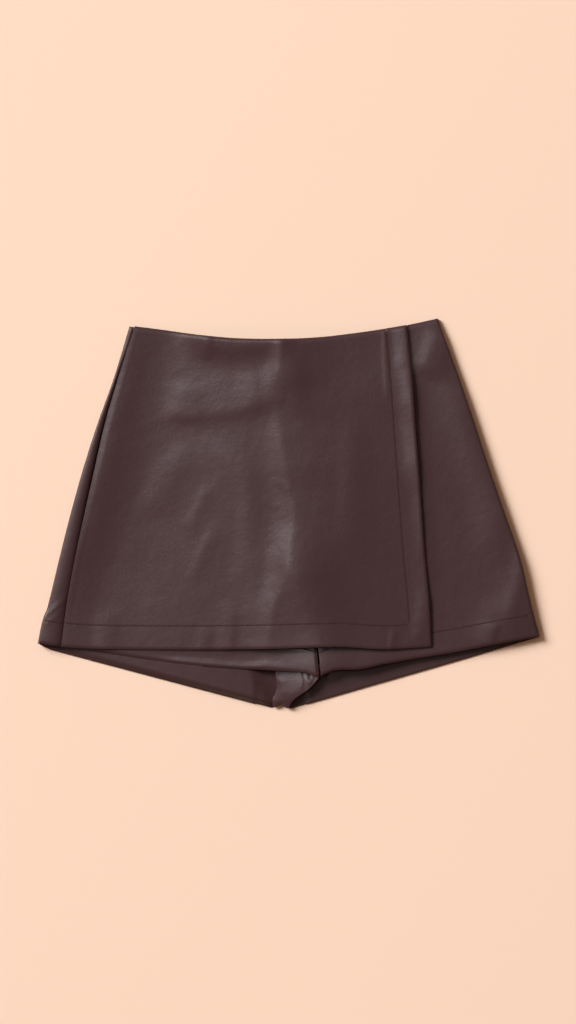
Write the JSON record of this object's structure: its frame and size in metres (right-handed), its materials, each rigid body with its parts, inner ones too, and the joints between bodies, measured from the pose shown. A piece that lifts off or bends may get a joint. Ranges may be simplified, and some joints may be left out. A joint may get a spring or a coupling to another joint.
{
  "type": "wrap skort",
  "caption": "Wrap skort in dark brown coated cloth, laid flat front up: short shorts under an A-line wrap panel with turned, stitched edges.",
  "frame": {"origin": "under the middle of the garment's outline, on the surface that it lies on", "axes": "+Y towards the waist, +Z out of the garment's front, +X towards the wrap's free edge, on the right of the picture and the wearer's left"},
  "size_m": [0.5561, 0.4323, 0.0182],
  "materials": {
    "leatherette": "dark brown coated cloth with a fine grain and a soft satin sheen"
  },
  "bodies": {
    "root": {"wrap_panel": "leatherette", "front_left": "leatherette", "front_right": "leatherette", "back_left": "leatherette", "back_right": "leatherette", "crotch_gusset": "leatherette"}
  },
  "joints": []
}
